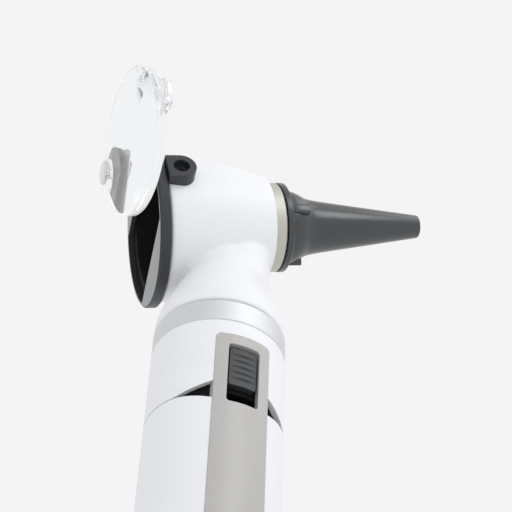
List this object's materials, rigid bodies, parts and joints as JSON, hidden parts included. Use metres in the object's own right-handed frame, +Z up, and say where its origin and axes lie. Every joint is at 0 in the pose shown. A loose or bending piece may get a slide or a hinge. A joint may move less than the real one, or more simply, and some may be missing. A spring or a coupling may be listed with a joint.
{
  "type": "otoscope",
  "caption": "Hand-held otoscope: round battery handle with a thumb slider, tilted white head, clear swing-away lens, dark rear ring with an air port and a tapered ear speculum.",
  "frame": {"origin": "centre of the end cap's flat base", "axes": "+Z up the handle's axis, +X to the side that the speculum points to, the thumb slider and the air port on the -Y side"},
  "size_m": [0.0826, 0.0594, 0.2151],
  "materials": {
    "white_plastic": "moulded, satin gloss",
    "dark_plastic": "moulded, fine satin",
    "speculum_plastic": "moulded, satin",
    "black_plastic": "moulded, matt",
    "slider_plastic": "moulded, matt",
    "grey_strip": "moulded, satin",
    "clear_acrylic": "polished, clear",
    "satin_aluminium": "turned, satin",
    "pale_metal": "turned, matt",
    "bright_steel": "polished",
    "plated_metal": "plated",
    "spring_steel": "drawn wire",
    "contact_brass": "stamped",
    "cell_can": "printed sleeve on the can",
    "seal_rubber": "moulded",
    "ivory_plastic": "moulded",
    "lamp_glass": "blown, clear",
    "light_guide": "polished ends"
  },
  "bodies": {
    "handle": {"cell_lower": "cell_can", "cell_upper": "cell_can", "contact_strip": "contact_brass", "handle_tube": "white_plastic", "switch_sleeve": "white_plastic", "switch_plate": "grey_strip", "switch_core": "black_plastic", "plus_contact": "contact_brass", "collar_ring": "satin_aluminium", "coupling_post": "plated_metal", "bayonet_pins": "plated_metal", "pin_insulator": "ivory_plastic", "contact_pin": "contact_brass"},
    "end_cap": {"end_cap": "satin_aluminium", "cap_seal": "seal_rubber", "battery_spring": "spring_steel"},
    "slider": {"switch_slider": "slider_plastic", "slider_contact": "contact_brass"},
    "head": {"head_shell": "white_plastic", "neck_socket": "plated_metal", "lamp_holder": "black_plastic", "lamp_base": "plated_metal", "lamp_bulb": "lamp_glass", "fibre_bundle": "light_guide", "head_liner": "black_plastic", "rear_ring": "dark_plastic", "port_lug": "dark_plastic", "lens_rivet": "bright_steel", "spring_washer": "bright_steel", "nose_ring": "pale_metal", "nose_cone": "black_plastic", "fibre_ring": "light_guide"},
    "lens": {"lens": "clear_acrylic"},
    "speculum": {"speculum": "speculum_plastic"}
  },
  "joints": [
    {"name": "cap_turn", "type": "hinge", "parent": "handle", "child": "end_cap", "pos_m": [0, 0, 0.012], "axis": [0, 0, 1], "range_deg": [0, 45]},
    {"name": "switch_slide", "type": "slide", "parent": "handle", "child": "slider", "axis": [0, 0, -1], "range_m": [0, 0.004]},
    {"name": "head_twist", "type": "hinge", "parent": "handle", "child": "head", "pos_m": [0, 0, 0.1538], "axis": [0, 0, 1], "range_deg": [0, 60]},
    {"name": "lens_swing", "type": "hinge", "parent": "head", "child": "lens", "pos_m": [-0.02433, -0.00218, 0.20287], "axis": [0.9814, 0.099, 0.1642], "range_deg": [-22, 81.2]},
    {"name": "speculum_pull", "type": "slide", "parent": "head", "child": "speculum", "axis": [0.9703, 0, 0.2419], "range_m": [0, 0.036]}
  ]
}
